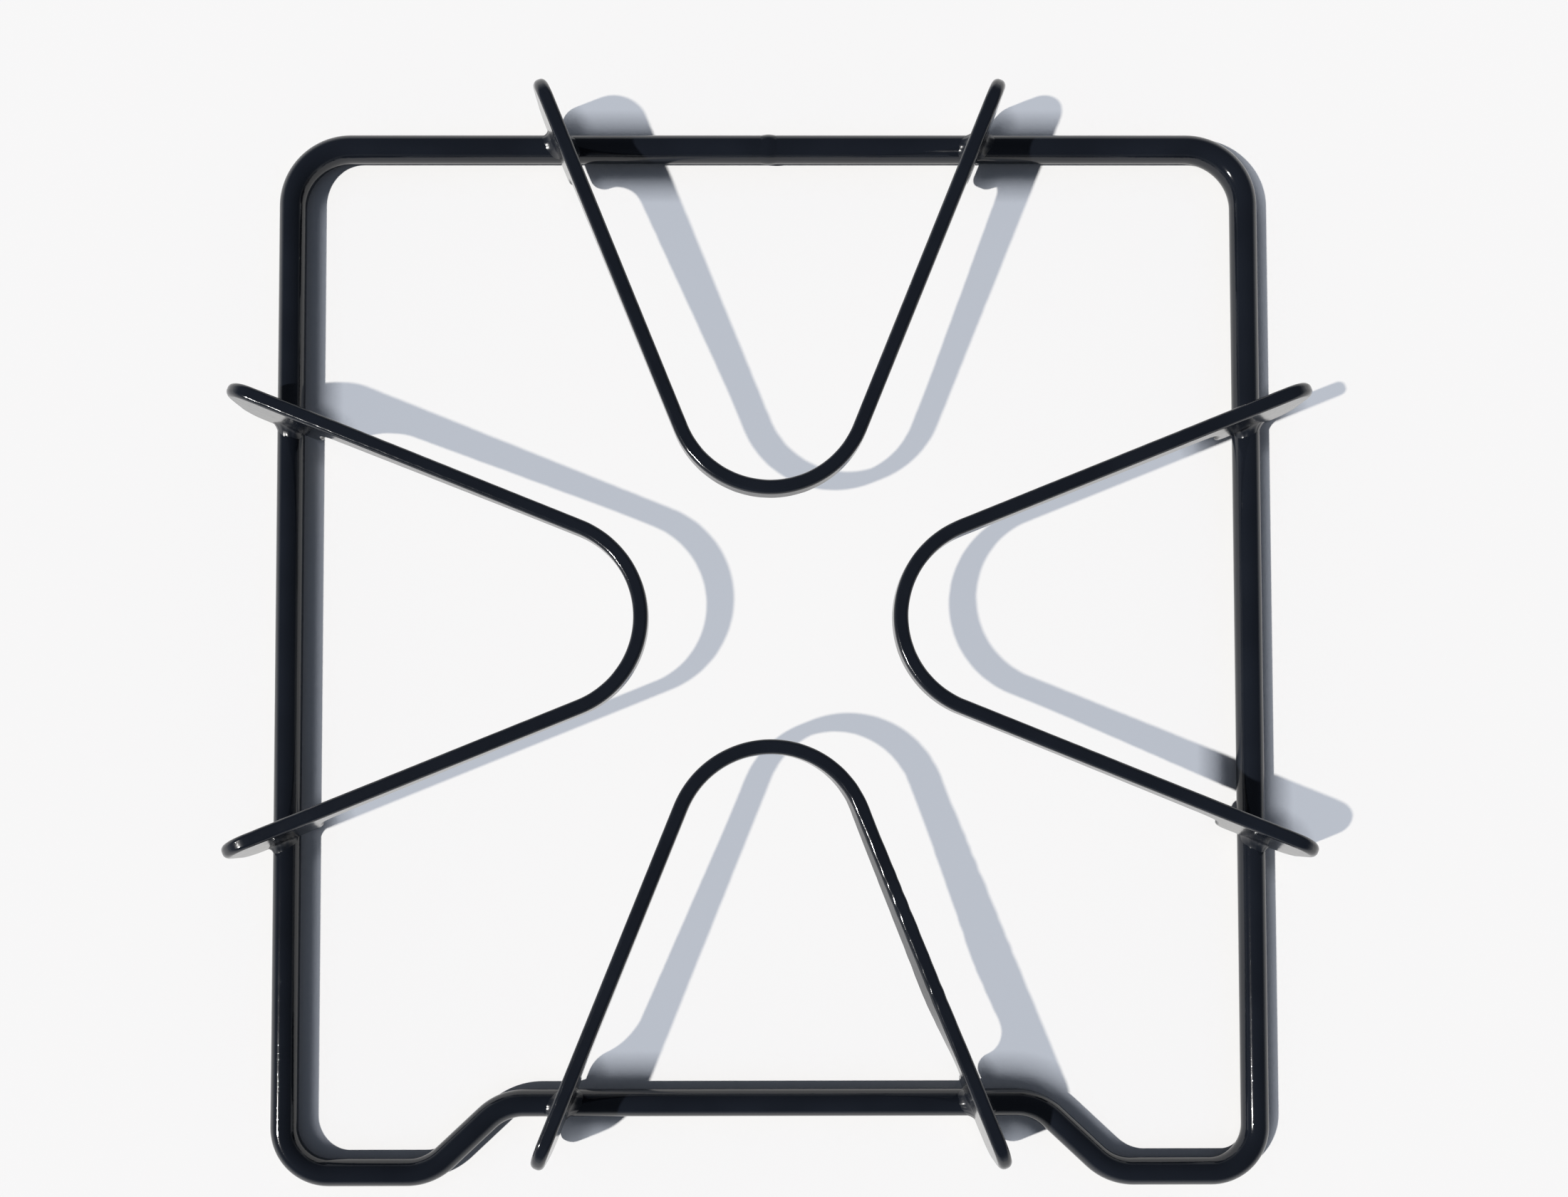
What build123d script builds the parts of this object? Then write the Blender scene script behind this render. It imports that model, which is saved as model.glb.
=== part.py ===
from build123d import *
import os
from math import cos, radians, sin, tan

# Sizes are in millimetres and angles in degrees, all over the enamel.
# The burner axis is at X = 0, Y = 0, the hob is the plane Z = 0, and the back bar is on the +Y side.

# Ring, bent from one round rod
rod_diameter = 6.4
ring_width = 233.6  # between the centre lines of the two side bars
back_reach = 118.3  # burner axis to the centre line of the back bar
front_reach = 114.7  # burner axis to the centre line of the recessed front bar
corner_step = 16.5  # the front corners stand this far out past the recessed bar
joggle_spacing = 146.2  # between the middles of the two slopes of the front bar
joggle_angle = 43.0
back_bend = 14.5  # bend radii of the rod's centre line
front_bend = 11.0
joggle_bend = 13.0

# Butt weld that closes the ring, in the middle of the back bar
butt_width = 3.4
butt_rise = 0.25

# Fingers, stamped from plate, bent to a V and set on edge
plate_thickness = 3.4
pan_height = 22.6  # hob to the top edge, where the pan stands
apex_reach = 29.85  # burner axis to the middle of the plate at the V's tip
apex_bend = 22.3  # bend radius of the middle of the plate
leg_angle = 22.0  # between a leg and the V's own axis
apex_depth = 3.9  # depth of the plate at the V's tip
leg_depth = 6.6  # depth of the plate where a leg meets its tab
taper_run = 10.0  # the lower edge is level this far along a leg, then slopes down
taper_round = 250.0
edge_round = 0.9

# Tabs at the ends of each finger, which straddle the ring
back_overhang = 9.8  # past the centre line of the bar, square to it
front_overhang = 12.5
side_overhang = 10.5
tab_length = 22.3  # along the leg
seat_depth = 1.2  # the inner shoulder lies this far below the top of the rod
tip_round = 8.3
lug_round = 4.6
shoulder_round = 3.6
throat_round = 7.2

# Weld bead between a tab and the ring
weld_leg = 2.0
weld_lip = 0.2  # step at the top of the bead
weld_sag = 0.4  # the bead hangs this far below the underside of the tab

rod_radius = rod_diameter / 2
half_plate = plate_thickness / 2
shoulder_height = rod_diameter - seat_depth
leg_sine = sin(radians(leg_angle))
leg_cosine = cos(radians(leg_angle))
leg_start = Vector(apex_bend * leg_cosine, apex_reach + apex_bend - apex_bend * leg_sine)
# A leg's own plane: X runs out along it from the bend, Y is the height over the hob
leg_plane = Plane(origin=leg_start, x_dir=(leg_sine, leg_cosine, 0), z_dir=(leg_cosine, -leg_sine, 0))


def ring():
    slope_half = corner_step / tan(radians(joggle_angle)) / 2
    corner_reach = front_reach + corner_step
    route = FilletPolyline(
        (0, back_reach),
        (ring_width / 2, back_reach),
        (ring_width / 2, -corner_reach),
        (joggle_spacing / 2 + slope_half, -corner_reach),
        (joggle_spacing / 2 - slope_half, -front_reach),
        (0, -front_reach),
        radius=[back_bend, front_bend, joggle_bend, joggle_bend],
    )
    start = Plane(origin=(0, back_reach), x_dir=(0, 1, 0), z_dir=(1, 0, 0))
    half = sweep(start * Circle(rod_radius), path=route)
    rod = Pos(Z=rod_radius) * (half + mirror(half, Plane.YZ))
    return rod + butt_weld()


def butt_weld():
    # A low barrel round the rod, flush underneath so that the ring stands level
    half_width = butt_width / 2
    core = Polyline((half_width, rod_radius), (half_width, 0), (-half_width, 0), (-half_width, rod_radius))
    crown = ThreePointArc((-half_width, rod_radius), (0, rod_radius + butt_rise), (half_width, rod_radius))
    barrel = revolve(make_face(core + crown), Axis.X)
    return split(Pos(0, back_reach, rod_radius) * barrel, Plane.XY, keep=Keep.TOP)


def leg(crossing, tip):
    # The slope between lug and shoulder lies inside the rod, which is cut out later
    slope_half = rod_radius / 2
    corners = {
        (0, pan_height): 0,
        (tip, pan_height): tip_round,
        (tip, rod_radius): lug_round,
        (crossing + slope_half, rod_radius): edge_round,
        (crossing - slope_half, shoulder_height): edge_round,
        (tip - tab_length, shoulder_height): shoulder_round,
        (tip - tab_length, pan_height - leg_depth): throat_round,
        (taper_run, pan_height - apex_depth): taper_round,
        (0, pan_height - apex_depth): 0,
    }
    outline = FilletPolyline(*corners, radius=list(corners.values()), close=True)
    plate = extrude(make_face(outline), amount=half_plate, both=True)
    # Both rims are rounded, but not the end that runs on into the bend
    rims = [
        edge
        for edge in plate.edges()
        if abs(edge.center().Z) > half_plate / 2 and edge.center().X > edge_round
    ]
    return leg_plane * fillet(rims, edge_round)


def bend():
    # The round tip of the V, between the starts of its two legs
    section = Plane(origin=leg_start, x_dir=(leg_cosine, -leg_sine, 0), z_dir=(-leg_sine, -leg_cosine, 0))
    profile = Pos(0, pan_height - apex_depth / 2) * RectangleRounded(plate_thickness, apex_depth, edge_round)
    hub = Axis((0, apex_reach + apex_bend, 0), (0, 0, -1))
    return revolve(section * profile, hub, revolution_arc=180 - 2 * leg_angle)


def bar(bar_reach, radius):
    return Pos(0, bar_reach, rod_radius) * Rot(Y=90) * Cylinder(radius, ring_width - 2 * back_bend)


def weld(crossing, bar_reach):
    # A bead along both faces of the tab: the faces are taken right through the rod, the angle between
    # them and the rod is filled, and the filling is kept from just under the tab upwards
    rod = bar(bar_reach, rod_radius)
    around = bar(bar_reach, rod_radius + weld_leg - weld_lip)
    slab = leg_plane * Pos(crossing, rod_radius) * Box(tab_length, tab_length, plate_thickness)
    filled = chamfer(new_edges(slab, rod, combined=slab + rod), weld_leg)
    edge = Polyline(
        (crossing - tab_length, pan_height),
        (crossing - tab_length, shoulder_height - weld_sag),
        (crossing, shoulder_height - weld_sag),
        (crossing, rod_radius - weld_sag),
        (crossing + tab_length, rod_radius - weld_sag),
        (crossing + tab_length, pan_height),
        close=True,
    )
    window = leg_plane * extrude(make_face(edge), amount=plate_thickness + weld_leg, both=True)
    return filled & around & window


def finger(bar_reach, overhang):
    crossing = (bar_reach - leg_start.Y) / leg_cosine
    tip = crossing + overhang / leg_cosine
    right_leg = leg(crossing, tip) + weld(crossing, bar_reach)
    return right_leg + bend() + mirror(right_leg, Plane.YZ) - bar(bar_reach, rod_radius)


pieces = {
    "frame_ring": ring(),
    "finger_back": finger(back_reach, back_overhang),
    "finger_front": Rot(Z=180) * finger(front_reach, front_overhang),
    "finger_left": Rot(Z=90) * finger(ring_width / 2, side_overhang),
    "finger_right": Rot(Z=-90) * finger(ring_width / 2, side_overhang),
}
os.makedirs("parts", exist_ok=True)
for name, piece in pieces.items():
    export_step(piece, f"parts/{name}.step")
    print(name, round(piece.volume), piece.is_valid)
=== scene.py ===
import bpy, bmesh, math
from mathutils import Matrix, Vector, noise


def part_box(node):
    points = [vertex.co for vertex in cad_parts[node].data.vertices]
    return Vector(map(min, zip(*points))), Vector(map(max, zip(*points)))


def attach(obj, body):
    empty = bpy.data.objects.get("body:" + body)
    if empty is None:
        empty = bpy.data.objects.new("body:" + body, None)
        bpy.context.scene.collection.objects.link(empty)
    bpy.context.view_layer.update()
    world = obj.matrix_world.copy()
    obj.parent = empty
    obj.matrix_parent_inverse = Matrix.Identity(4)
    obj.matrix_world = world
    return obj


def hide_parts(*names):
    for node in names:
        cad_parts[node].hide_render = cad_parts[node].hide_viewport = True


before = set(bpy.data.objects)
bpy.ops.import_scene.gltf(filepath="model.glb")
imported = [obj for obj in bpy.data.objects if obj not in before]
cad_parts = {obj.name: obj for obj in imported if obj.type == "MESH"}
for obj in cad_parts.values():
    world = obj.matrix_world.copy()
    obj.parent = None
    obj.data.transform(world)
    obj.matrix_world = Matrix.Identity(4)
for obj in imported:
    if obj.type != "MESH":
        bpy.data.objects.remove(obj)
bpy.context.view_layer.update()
mm = 0.001
scene = bpy.context.scene
scene.view_settings.view_transform = "Standard"
print("frame loaded:", ", ".join(sorted(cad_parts)))


def hexLinear(code):  # "#rrggbb" in sRGB to linear rgba
    channels = [int(code[i:i + 2], 16) / 255 for i in (1, 3, 5)]
    return [c / 12.92 if c <= 0.04045 else ((c + 0.055) / 1.055) ** 2.4 for c in channels] + [1]


def addNode(tree, kind, settings={}, feeds={}):
    node = tree.nodes.new(kind)
    for name, value in settings.items():
        if isinstance(name, int) or name in node.inputs:
            node.inputs[name].default_value = value
        else:
            setattr(node, name, value)
    for name, socket in feeds.items():
        tree.links.new(socket, node.inputs[name])
    return node


def boxOf(node):  # lowest and highest corner in mm
    return [Vector(corner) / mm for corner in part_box(node)]


def ease(share):  # 0 to 1 with a soft start and end
    return share * share * (3 - 2 * share)


def fillRun(stations, end, heading, runStep):
    # stations along a straight run, from the last one up to its end but without it
    start = Vector(stations[-1][:2])
    steps = max(1, round((end - start).length / runStep))
    for k in range(1, steps):
        stations.append((*start.lerp(end, k / steps), *heading))


def roundCorners(corners, turnStep, runStep):
    # closed line through (x, y, radius) corners, as (x, y, heading x, heading y) stations
    stations = []
    count = len(corners)
    for i in range(count):
        before, here, after = (Vector(corners[(i + k) % count][:2]) for k in (-1, 0, 1))
        radius = corners[i][2]
        comeIn, goOut = (here - before).normalized(), (after - here).normalized()
        turn = math.atan2(comeIn.x * goOut.y - comeIn.y * goOut.x, comeIn.dot(goOut))
        start = here - comeIn * radius * math.tan(abs(turn) / 2)
        hub = start + Vector((-comeIn.y, comeIn.x)) * math.copysign(radius, turn)
        if stations:
            fillRun(stations, start, comeIn, runStep)
        steps = max(2, math.ceil(abs(turn) / math.radians(turnStep)))
        for k in range(steps + 1):
            swing = Matrix.Rotation(turn * k / steps, 2)
            stations.append((*(hub + swing @ (start - hub)), *(swing @ comeIn)))
    first = Vector(stations[0][:2])
    fillRun(stations, first, (first - Vector(stations[-1][:2])).normalized(), runStep)
    return stations


def tubeFaces(first, rings, around):
    # quads over closed rings of points that follow each other in a closed loop
    faces = []
    for i in range(rings):
        for k in range(around):
            n, m = (i + 1) % rings, (k + 1) % around
            faces.append([first + a * around + b for a, b in ((i, k), (i, m), (n, m), (n, k))])
    return faces


def newPiece(name, verts, faces, material, stands=None, normals=None):
    mesh = bpy.data.meshes.new(name)
    mesh.from_pydata([Vector(v) * mm for v in verts], [], faces)
    mesh.shade_smooth()
    if normals:
        mesh.normals_split_custom_set_from_vertices([Vector(n).normalized() for n in normals])
    mesh.materials.append(material)
    piece = bpy.data.objects.new(name, mesh)
    scene.collection.objects.link(piece)
    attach(piece, "root")
    if stands:
        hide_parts(stands)
    print("made", name, len(mesh.polygons), "faces")


# black vitreous enamel, sprayed on as slip and fired to glass: a deep blue-black under a wet gloss,
# with a faint orange peel, and fine specks that catch the sun one by one
enamel = {
    "colour": "#0d1016", "thinColour": "#1a1e26",    # thin where the coat lets the grey ground show
    "ior": 1.53, "roughness": 0.06, "dullRoughness": 0.1,
    "waveSize": 17.0, "waveHeight": 0.03,            # mm, slow change of the coat's thickness
    "peelSize": 2.6, "peelHeight": 0.012,            # mm, orange peel
    "detail": 2.0,                                   # octaves of both
    # mm, nearer 0.2 wide on the real coat, drawn coarser to show
    "speckSpacing": 0.5, "speckWidth": 0.4, "speckHeight": 0.011,
}
# crawls on the sheared rims of the plate: a rougher peel that breaks up the glints
edgeCoat = {"roughness": 0.1, "dullRoughness": 0.17, "peelSize": 2.2, "peelHeight": 0.04}
# pools in the corners of the welds: a short peel with soft, dull lights
weldCoat = {"roughness": 0.22, "dullRoughness": 0.36, "peelSize": 1.3, "peelHeight": 0.03}


def enamelMaterial(name, e):
    material = bpy.data.materials.new(name)
    material.use_nodes = True
    tree = material.node_tree
    place = {"Vector": addNode(tree, "ShaderNodeTexCoord").outputs["Object"]}
    wave, peel = (
        addNode(tree, "ShaderNodeTexNoise", {"Scale": 1 / (e[size] * mm), "Detail": e["detail"]}, place)
        for size in ("waveSize", "peelSize"))
    cells = addNode(tree, "ShaderNodeTexVoronoi", {"Scale": 1 / (e["speckSpacing"] * mm)}, place)
    dome = addNode(tree, "ShaderNodeMapRange",
                   {"interpolation_type": "SMOOTHSTEP", "From Min": 0.0, "To Min": 1.0, "To Max": 0.0,
                    "From Max": e["speckWidth"] / 2 / e["speckSpacing"]},
                   {"Value": cells.outputs["Distance"]})
    # each speck has its own height, from the random colour of its cell
    speck = addNode(tree, "ShaderNodeMath", {"operation": "MULTIPLY"},
                    {0: dome.outputs["Result"], 1: cells.outputs["Color"]})
    normal = None
    for pattern, height in ((wave.outputs["Fac"], "waveHeight"), (peel.outputs["Fac"], "peelHeight"),
                            (speck.outputs["Value"], "speckHeight")):
        feeds = {"Height": pattern, "Normal": normal} if normal else {"Height": pattern}
        normal = addNode(tree, "ShaderNodeBump", {"Distance": e[height] * mm}, feeds).outputs["Normal"]
    # a mix of colours has them in sockets 6 and 7, and the result in socket 2
    tint = addNode(tree, "ShaderNodeMix",
                   {"data_type": "RGBA", 6: hexLinear(e["colour"]), 7: hexLinear(e["thinColour"])},
                   {"Factor": wave.outputs["Fac"]})
    dull = addNode(tree, "ShaderNodeMapRange", {"To Min": e["roughness"], "To Max": e["dullRoughness"]},
                   {"Value": peel.outputs["Fac"]})
    shader = tree.nodes["Principled BSDF"]
    shader.inputs["IOR"].default_value = e["ior"]
    surface = {"Base Color": tint.outputs[2], "Roughness": dull.outputs["Result"], "Normal": normal}
    for key, socket in surface.items():
        tree.links.new(socket, shader.inputs[key])
    return material


blackEnamel = enamelMaterial("black vitreous enamel, sprayed and fired", enamel)
plateEnamel = enamelMaterial("black vitreous enamel, drawn thin over stamped edges", {**enamel, **edgeCoat})
weldEnamel = enamelMaterial("black vitreous enamel, pooled over welds", {**enamel, **weldCoat})
print("enamel mixed")

# ring, one round rod bent in a square, with the front bar set back between two joggles
ringRod = {
    "radius": 3.2, "step": 16.5, "slopeMiddle": 73.1, "slopeAngle": 43.0,    # mm and degrees
    "backBend": 14.5, "frontBend": 11.0, "slopeBend": 13.0,                  # mm, on the rod's centre line
    "buttRise": 0.25, "around": 40, "turnStep": 4.0, "runStep": 3.0,
}
ringLow, ringHigh = boxOf("frame_ring")
sideBar = ringHigh.x - ringRod["radius"]          # burner axis to the centre line of each bar
backBar = ringHigh.y - ringRod["buttRise"] - ringRod["radius"]
frontCorner = -ringLow.y - ringRod["radius"]
frontBar = frontCorner - ringRod["step"]


def makeRing(r):
    half = r["step"] / math.tan(math.radians(r["slopeAngle"])) / 2
    right = [(sideBar, backBar, r["backBend"]), (sideBar, -frontCorner, r["frontBend"]),
             (r["slopeMiddle"] + half, -frontCorner, r["slopeBend"]),
             (r["slopeMiddle"] - half, -frontBar, r["slopeBend"])]
    left = [(-x, y, bend) for x, y, bend in reversed(right)]
    stations = roundCorners(right + left, r["turnStep"], r["runStep"])
    verts = []
    for x, y, headX, headY in stations:
        for k in range(r["around"]):
            angle = 2 * math.pi * k / r["around"]
            flat, up = r["radius"] * math.cos(angle), r["radius"] * math.sin(angle)
            verts.append((x - headY * flat, y + headX * flat, r["radius"] + up))
    newPiece("ringRod", verts, tubeFaces(0, len(stations), r["around"]), blackEnamel, "frame_ring")


makeRing(ringRod)

# butt weld that closes the ring, a low uneven collar in the middle of the back bar
buttWeld = {
    "width": 5.0, "sink": 0.3, "sinkPower": 8,         # mm, the collar's ends dip into the rod at the last
    "uneven": 0.3, "lump": 0.35, "lumpScale": 1.7,     # shares of its width and rise
    "steps": 12, "around": 72,
}


def makeButtWeld(b):
    rod, verts = ringRod["radius"], []
    for i in range(b["around"]):
        angle = 2 * math.pi * i / b["around"]
        ridge = Vector((math.cos(angle), math.sin(angle), 0)) * rod
        half = b["width"] / 2 * (1 + b["uneven"] * noise.noise(ridge))
        rise = ringRod["buttRise"] * min(1, 1 + math.sin(angle))    # none underneath, so the ring lies flat
        rise *= 1 - b["lump"] * (0.5 + 0.5 * noise.noise(ridge * b["lumpScale"]))
        for k in range(b["steps"] + 2):
            across = min(1, 2 * k / b["steps"] - 1)
            reach = rod + rise * math.cos(math.pi / 2 * across) ** 2 - b["sink"] * across ** b["sinkPower"]
            if k > b["steps"]:              # the last point closes the collar inside the rod
                across, reach = 0, rod - 2 * b["sink"]
            verts.append((half * across, backBar + reach * math.cos(angle), rod + reach * math.sin(angle)))
    newPiece("buttWeld", verts, tubeFaces(0, b["around"], b["steps"] + 2), blackEnamel)


makeButtWeld(buttWeld)

# fingers, a stamped blank with rounded rims, bent on edge to a V
fingerPlate = {
    "turns": {"back": 0, "front": 180, "left": 90, "right": -90},    # degrees, which way each V opens
    "thickness": 3.4, "bend": 22.3, "lean": 22.0,                    # mm and degrees, the V in plan
    # mm, as deep as its shadow says
    "apexDepth": 5.0, "legDepth": 7.6, "taperRun": 10.0, "taperRound": 250.0,
    # mm, the tab over the rod, with its seat inside the rod
    "tabLength": 22.3, "shoulder": 5.2, "tipRound": 8.3, "lugRound": 4.6,
    "shoulderRound": 3.6, "throatRound": 6.5, "seatRound": 2.2,
    # mm, the enamel rounds the sheared rims, most at the tips, and leaves them a little uneven
    "cadRim": 0.9, "rim": 0.95, "tipRim": 1.5, "waver": 0.14, "waverSize": 2.2,
    # one leg was bent over, lower edge in: degrees, and shares of the leg to start and end in
    "pressed": {"front": -1}, "pressLean": 12.0, "pressStart": 0.4, "pressEnd": 0.25, "pressWaver": 0.8,
    "rimSteps": 7, "turnStep": 9.0, "runStep": 0.6,
}
barReach = {"back": backBar, "front": frontBar, "left": sideBar, "right": sideBar}


def fingerShape(side, p):
    # lengths along the flat blank from the V's tip, worked out from the node's box
    low, high = boxOf("finger_" + side)
    spin = Matrix.Rotation(math.radians(p["turns"][side]), 3, "Z")
    outward = spin @ Vector((0, 1, 0))
    near, far = sorted((low.dot(outward), high.dot(outward)))
    lean, half = math.radians(p["lean"]), p["thickness"] / 2
    hub = near + half + p["bend"]
    legX, legY = p["bend"] * math.cos(lean), hub - p["bend"] * math.sin(lean)     # start of a leg, in plan
    arc = p["bend"] * (math.pi / 2 - lean)
    tipY = far - p["cadRim"] * (1 - math.cos(lean)) - (half - p["cadRim"]) * math.sin(lean)
    return {"spin": spin, "lean": lean, "hub": hub, "arc": arc, "top": high.z,
            "crossX": legX + (barReach[side] - legY) * math.tan(lean),
            "crossing": arc + (barReach[side] - legY) / math.cos(lean),
            "tip": arc + (tipY - legY) / math.cos(lean)}


def bendBlank(p, shape, along, off):
    # place and outward direction, in plan, of a point of the flat blank
    swing = max(-shape["arc"], min(shape["arc"], along)) / p["bend"]
    outX, outY = math.sin(swing), -math.cos(swing)
    extra, reach = along - swing * p["bend"], p["bend"] + off
    return outX * reach - outY * extra, shape["hub"] + outY * reach + outX * extra, outX, outY


def blankOutline(p, shape):
    top, tip, cross, rod = shape["top"], shape["tip"], shape["crossing"], ringRod["radius"]
    inner = tip - p["tabLength"]
    right = [(tip, top, p["tipRound"]), (tip, rod, p["lugRound"]),
             (cross + rod / 2, rod, p["seatRound"]), (cross - rod / 2, p["shoulder"], p["seatRound"]),
             (inner, p["shoulder"], p["shoulderRound"]), (inner, top - p["legDepth"], p["throatRound"]),
             (shape["arc"] + p["taperRun"], top - p["apexDepth"], p["taperRound"])]
    left = [(-s, z, r) for s, z, r in reversed(right)]
    return roundCorners(right + left, p["turnStep"], p["runStep"])


def pressedOver(side, s, shape, p):
    # how far the lower edge leans in, per mm of depth, none at the V's tip and at the tab
    if s * p["pressed"].get(side, 0) <= 0:
        return 0
    share = min(1, abs(s) / (shape["tip"] - p["tabLength"]))
    start, end = min(1, share / p["pressStart"]), min(1, (1 - share) / p["pressEnd"])
    return math.tan(math.radians(p["pressLean"])) * ease(start) * ease(end)


def faceFill(outline, rims, first, flip):
    # triangles over a face of the flat blank, inside its rounded rim
    flat = bmesh.new()
    ring = [flat.verts.new((s + dz * rim, z - ds * rim, 0)) for (s, z, ds, dz), rim in zip(outline, rims)]
    flat.verts.index_update()
    bmesh.ops.triangulate(flat, faces=[flat.faces.new(ring)], ngon_method="BEAUTY")
    made = [[first + v.index for v in f.verts] for f in flat.faces]
    flat.free()
    return [t[::-1] for t in made] if flip else made


def makeFinger(side, p):
    shape = fingerShape(side, p)
    outline = blankOutline(p, shape)
    count, half, steps = len(outline), p["thickness"] / 2, p["rimSteps"]
    seed = Vector((0, 0, p["turns"][side]))
    rims, leans = [], []
    for s, z, ds, dz in outline:
        end = max(0, 1 - (shape["tip"] - abs(s)) / p["tipRound"])     # 1 at the tip
        lean = pressedOver(side, s, shape, p)
        waver = p["waver"] + p["pressWaver"] * lean
        rims.append(p["rim"] + (p["tipRim"] - p["rim"]) * ease(end)
                    + waver * noise.noise(Vector((s, z, 0)) / p["waverSize"] + seed))
        leans.append(lean)
    gaps = [math.dist(outline[i - 1][:2], outline[(i + 1) % count][:2]) for i in range(count)]
    slopes = [(rims[(i + 1) % count] - rims[i - 1]) / gaps[i] for i in range(count)]
    # from one face of the plate round its rim to the other
    sweep = [(-1, k) for k in range(steps, -1, -1)] + [(1, k) for k in range(steps + 1)]
    verts, normals, faces = [], [], []
    for sign, k in sweep:
        level, tilt = math.cos(math.pi / 2 * k / steps), sign * math.sin(math.pi / 2 * k / steps)
        # the outline runs clockwise, so its left is outside
        for (s, z, ds, dz), rim, slope, lean in zip(outline, rims, slopes, leans):
            inset, off = rim * (1 - level), sign * (half - rim) + rim * tilt
            height = z - ds * inset
            x, y, outX, outY = bendBlank(p, shape, s + dz * inset, off - lean * (shape["top"] - height))
            verts.append(shape["spin"] @ Vector((x, y, height)))
            tip = (level + abs(tilt) - 1) * slope         # the wavering rim tips the surface along its run
            runS, runZ = -dz * level + ds * tip, ds * level + dz * tip - lean * tilt
            normal = Vector((outX * tilt - outY * runS, outY * tilt + outX * runS, runZ))
            normals.append(shape["spin"] @ normal)
    last = (len(sweep) - 1) * count
    for ring in range(0, last, count):
        for i in range(count):
            n = (i + 1) % count
            faces.append((ring + i, ring + count + i, ring + count + n, ring + n))
    faces += faceFill(outline, rims, 0, False) + faceFill(outline, rims, last, True)
    newPiece("fingerPlate_" + side, verts, faces, plateEnamel, "finger_" + side, normals)


for side in fingerPlate["turns"]:
    makeFinger(side, fingerPlate)

# weld beads round the tabs, hollow fillets run out thin on the rod, with faint ripples under the enamel
weldBead = {
    "topLeg": 3.0, "sideLeg": 1.5, "topRise": 2.2, "sideRise": 1.2,      # mm, fullest on top of the rod
    "fullPower": 1.5, "uneven": 0.2, "lumpSize": 2.2,
    "ripplePitch": 1.3, "rippleHeight": 0.03, "rippleDrift": 2.0,        # mm, and radians
    "seed": (0.13, 7.7, 3.1),                         # every bead is laid a little differently
    "sink": 0.12, "root": 0.5, "sideSteps": 34, "endSteps": 16, "steps": 16,
}


def makeWelds(side, w, p):
    shape, bar, rod = fingerShape(side, p), barReach[side], ringRod["radius"]
    slant, half, end = math.tan(shape["lean"]), p["thickness"] / 2 / math.cos(shape["lean"]), p["cadRim"]
    far = rod * (math.pi - math.asin((p["shoulder"] - rod) / rod))     # round the rod, from its outer side
    # loop round the tab on the unrolled rod: along the bar, round the rod, and the way out of the tab
    loop = [(half, end + (far - 2 * end) * k / w["sideSteps"], 1, 0) for k in range(w["sideSteps"])]
    for k in range(w["endSteps"]):
        c, s = math.cos(math.pi * k / w["endSteps"]), math.sin(math.pi * k / w["endSteps"])
        loop.append((half * c, far - end + end * s, c, s))
    loop += [(-u, far - v, -outU, -outV) for u, v, outU, outV in loop]
    verts, faces = [], []
    for hand in (1, -1):
        first, run = len(verts), 0
        seed = Vector((p["turns"][side] * w["seed"][0], hand * w["seed"][1], w["seed"][2]))
        for i, (u, v, outU, outV) in enumerate(loop):
            run += math.dist((u, v), loop[i - 1][:2]) if i else 0
            spot = Vector((u, v, 0)) / w["lumpSize"]
            full = max(0, math.sin(v / rod)) ** w["fullPower"]
            leg = w["sideLeg"] + (w["topLeg"] - w["sideLeg"]) * full
            rise = w["sideRise"] + (w["topRise"] - w["sideRise"]) * full
            leg *= 1 + w["uneven"] * noise.noise(spot + seed)
            rise *= 1 + w["uneven"] * noise.noise(spot + seed * 2)
            drift = w["rippleDrift"] * noise.noise(spot * 2 + seed)
            crest = w["rippleHeight"] * math.sin(2 * math.pi * run / w["ripplePitch"] + drift)
            for k in range(w["steps"] + 2):
                t = min(1, k / w["steps"])
                ripple = crest * math.sin(math.pi * t)
                out = leg * (1 - math.cos(math.pi / 2 * t)) - w["sink"] * (1 - t) + ripple
                up = rise * (1 - math.sin(math.pi / 2 * t)) - w["sink"] * t + ripple
                if k > w["steps"]:          # the last point closes the bead inside the rod and the tab
                    out, up = -w["root"], -w["root"]
                angle, reach = (v + outV * out) / rod, rod + up
                y = reach * math.cos(angle)
                x = shape["crossX"] + y * slant + u + outU * out
                verts.append(shape["spin"] @ Vector((hand * x, bar + y, rod + reach * math.sin(angle))))
        rings = tubeFaces(first, len(loop), w["steps"] + 2)
        faces += [quad[::-1] for quad in rings] if hand > 0 else rings
    newPiece("weldBeads_" + side, verts, faces, weldEnamel)


for side in fingerPlate["turns"]:
    makeWelds(side, weldBead, fingerPlate)

# white card floor, matt, with painted light: a painted cool glow lifts its shadows to a pale blue-grey in
# open spots, and painted shade from ambient occlusion keeps them dark close under the ring
floorCard = {
    "size": 40.0, "drop": 0.02, "roughness": 0.7,       # m, and mm under the rod, so they share no plane
    "colour": "#f1f1f1", "openColour": "#fef6e7", "paintedGlowColour": "#ebf2ff",     # the warm open colour and the painted cool glow add up to white; the greyer colour is painted shade near the ring
    "paintedLift": 0.55, "nearby": 9.0, "nearbySamples": 4,    # nearby in mm, how far the painted shade reaches
    "darkest": 0.84, "open": 0.988,                     # shares of open sky, from full painted shade to none
}


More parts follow.
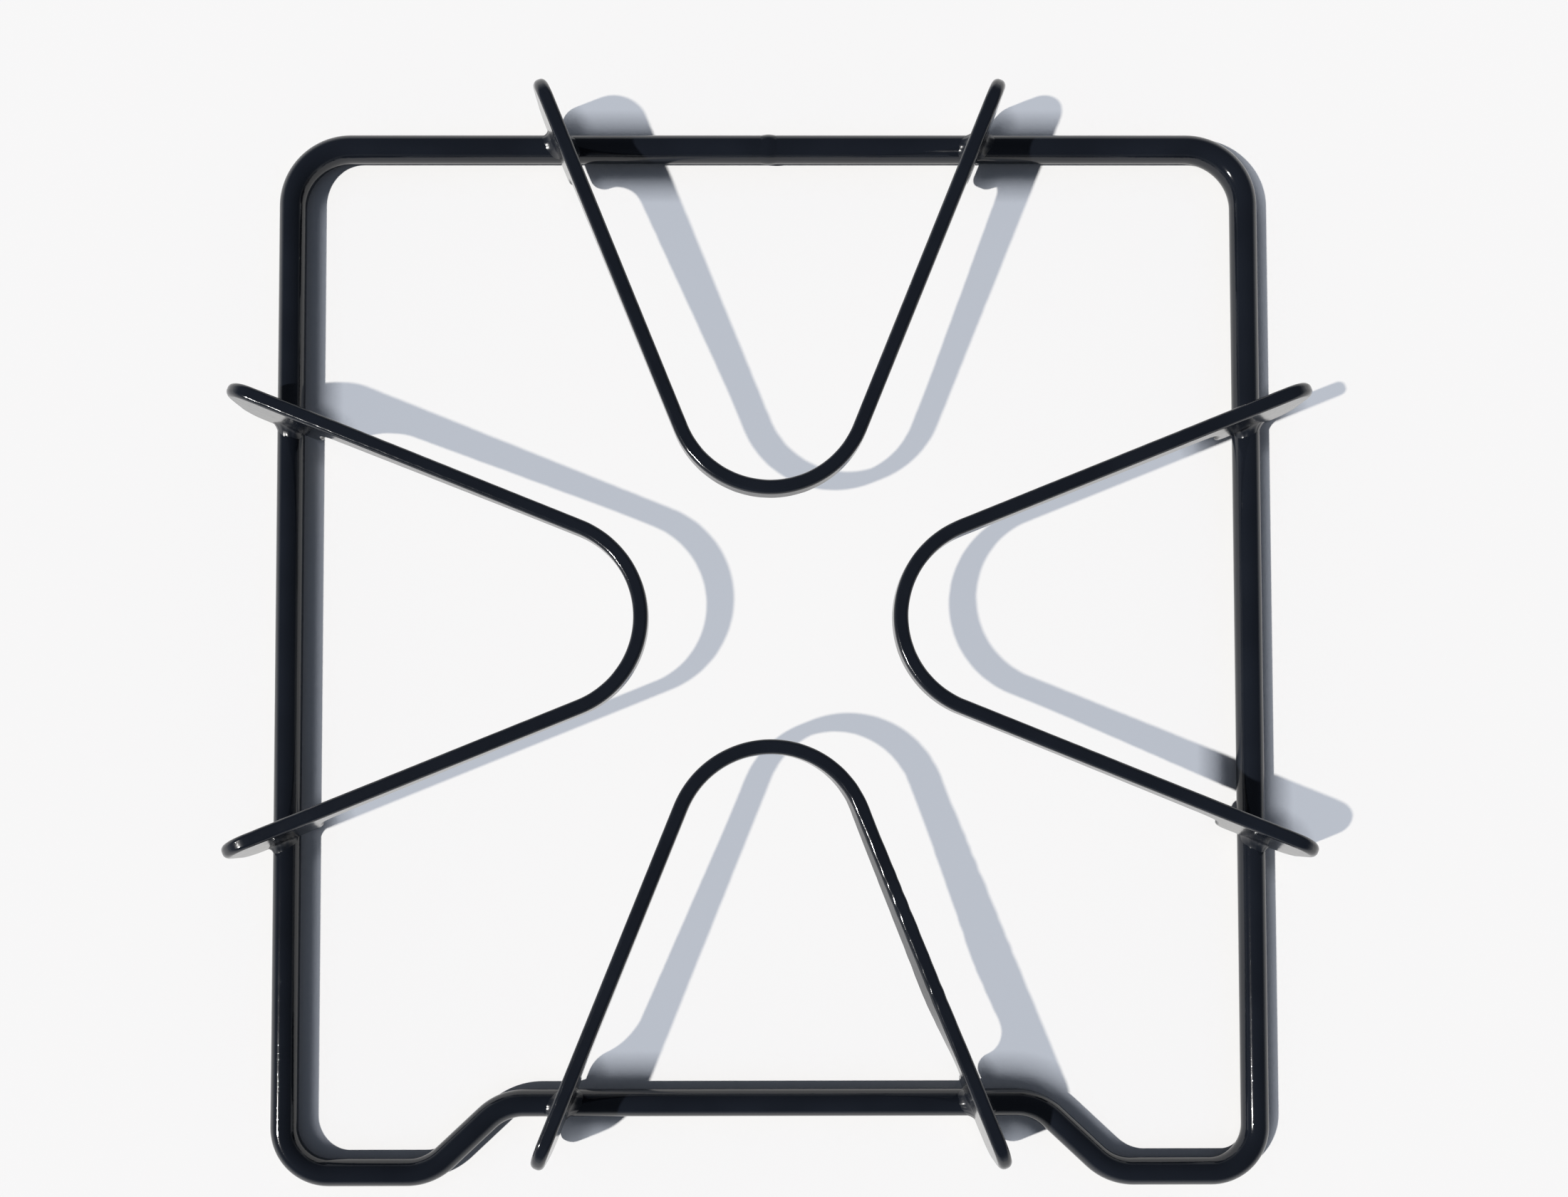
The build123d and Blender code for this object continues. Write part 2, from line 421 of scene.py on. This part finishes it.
def makeFloor(f):
    material = bpy.data.materials.new("white card, matt")
    material.use_nodes = True
    tree = material.node_tree
    shader = tree.nodes["Principled BSDF"]
    shader.inputs["Roughness"].default_value = f["roughness"]
    shader.inputs["Specular IOR Level"].default_value = 0.0
    # the painted lift, a cool glow that stands in for light in the shadows, is only seen, by the eye and in
    # the enamel, and puts no light on the object
    rays = addNode(tree, "ShaderNodeLightPath")
    seen = rays.outputs["Is Camera Ray"]
    for kind in ("Is Glossy Ray", "Is Transmission Ray"):
        either = addNode(tree, "ShaderNodeMath", {"operation": "MAXIMUM"}, {0: seen, 1: rays.outputs[kind]})
        seen = either.outputs[0]
    # painted shade: ambient occlusion marks the card close under the ring and the tabs, where the painted
    # glow and the warm colour fade out
    nearby = addNode(tree, "ShaderNodeAmbientOcclusion",
                     {"samples": f["nearbySamples"], "Distance": f["nearby"] * mm})
    paintedShadeOpenness = addNode(tree, "ShaderNodeMapRange",
                       {"interpolation_type": "SMOOTHSTEP", "From Min": f["darkest"], "From Max": f["open"]},
                       {"Value": nearby.outputs["AO"]}).outputs["Result"]
    # the card's colour: a little greyer where it gets painted shade, warm in open spots to cancel the
    # painted cool glow
    card = addNode(tree, "ShaderNodeMix",
                   {"data_type": "RGBA", 6: hexLinear(f["colour"]), 7: hexLinear(f["openColour"])},
                   {"Factor": paintedShadeOpenness})
    tree.links.new(card.outputs[2], shader.inputs["Base Color"])
    # share of the painted glow: full in open spots, none close under the ring
    share = addNode(tree, "ShaderNodeMath", {"operation": "MULTIPLY", 1: f["paintedLift"]}, {0: paintedShadeOpenness})
    share = addNode(tree, "ShaderNodeMath", {"operation": "MULTIPLY"}, {0: share.outputs[0], 1: seen})
    paintedGlow = addNode(tree, "ShaderNodeEmission", {"Color": hexLinear(f["paintedGlowColour"])})
    both = addNode(tree, "ShaderNodeMixShader", {},
                   {"Fac": share.outputs[0], 1: shader.outputs["BSDF"], 2: paintedGlow.outputs["Emission"]})
    tree.links.new(both.outputs["Shader"], tree.nodes["Material Output"].inputs["Surface"])
    half = f["size"] / 2
    corners = [(-half, -half, 0), (half, -half, 0), (half, half, 0), (-half, half, 0)]
    mesh = bpy.data.meshes.new("floorCard")
    mesh.from_pydata(corners, [], [(0, 1, 2, 3)])
    mesh.materials.append(material)
    floor = bpy.data.objects.new("floorCard", mesh)
    scene.collection.objects.link(floor)
    floor.location.z = -f["drop"] * mm


makeFloor(floorCard)

# low sun from the front left and a pale sky, which together with the card's painted glow show the card about
# as white as it is
daylight = {
    "sunFrom": (-0.888, -0.35, 1.0), "sunStrength": 4.25, "sunAngle": 1.5, "sunColour": "#fffdfa",
    "horizon": "#d4d8de", "zenith": "#464c57", "zenithFrom": 0.45,
}


def makeLight(d):
    lamp = bpy.data.lights.new("sun", "SUN")
    lamp.energy, lamp.angle = d["sunStrength"], math.radians(d["sunAngle"])
    lamp.color = hexLinear(d["sunColour"])[:3]
    sun = bpy.data.objects.new("sun", lamp)
    scene.collection.objects.link(sun)
    sun.rotation_mode = "QUATERNION"
    sun.rotation_quaternion = Vector(d["sunFrom"]).to_track_quat("Z", "Y")
    scene.world = bpy.data.worlds.new("sky")
    scene.world.use_nodes = True
    tree = scene.world.node_tree
    place = addNode(tree, "ShaderNodeTexCoord").outputs["Generated"]
    height = addNode(tree, "ShaderNodeSeparateXYZ", {}, {"Vector": place}).outputs["Z"]
    ramp = addNode(tree, "ShaderNodeValToRGB", {}, {"Fac": height})
    ramp.color_ramp.interpolation = "EASE"
    sky = ((0, d["horizon"]), (d["zenithFrom"], d["zenith"]))
    for stop, (position, colour) in zip(ramp.color_ramp.elements, sky):
        stop.position, stop.color = position, hexLinear(colour)
    tree.links.new(ramp.outputs["Color"], tree.nodes["Background"].inputs["Color"])


makeLight(daylight)

# camera at the photograph's viewing angle
viewCamera = {
    "place": (-5.73, -44.16, 311.86), "turn": (1.759, -0.152, -0.067),     # mm and degrees
    "lens": 29.203, "sensor": 36, "shift": (0.0221, 0.10952), "clip": (0.01, 100),     # clip in m
}


def makeCamera(c):
    data = bpy.data.cameras.new("camera")
    data.sensor_width, data.lens = c["sensor"], c["lens"]
    data.shift_x, data.shift_y = c["shift"]
    data.clip_start, data.clip_end = c["clip"]
    camera = bpy.data.objects.new("camera", data)
    scene.collection.objects.link(camera)
    camera.location = Vector(c["place"]) * mm
    camera.rotation_mode = "YXZ"
    camera.rotation_euler = [math.radians(a) for a in c["turn"]]
    scene.camera = camera


makeCamera(viewCamera)
print("floor, light and camera set")
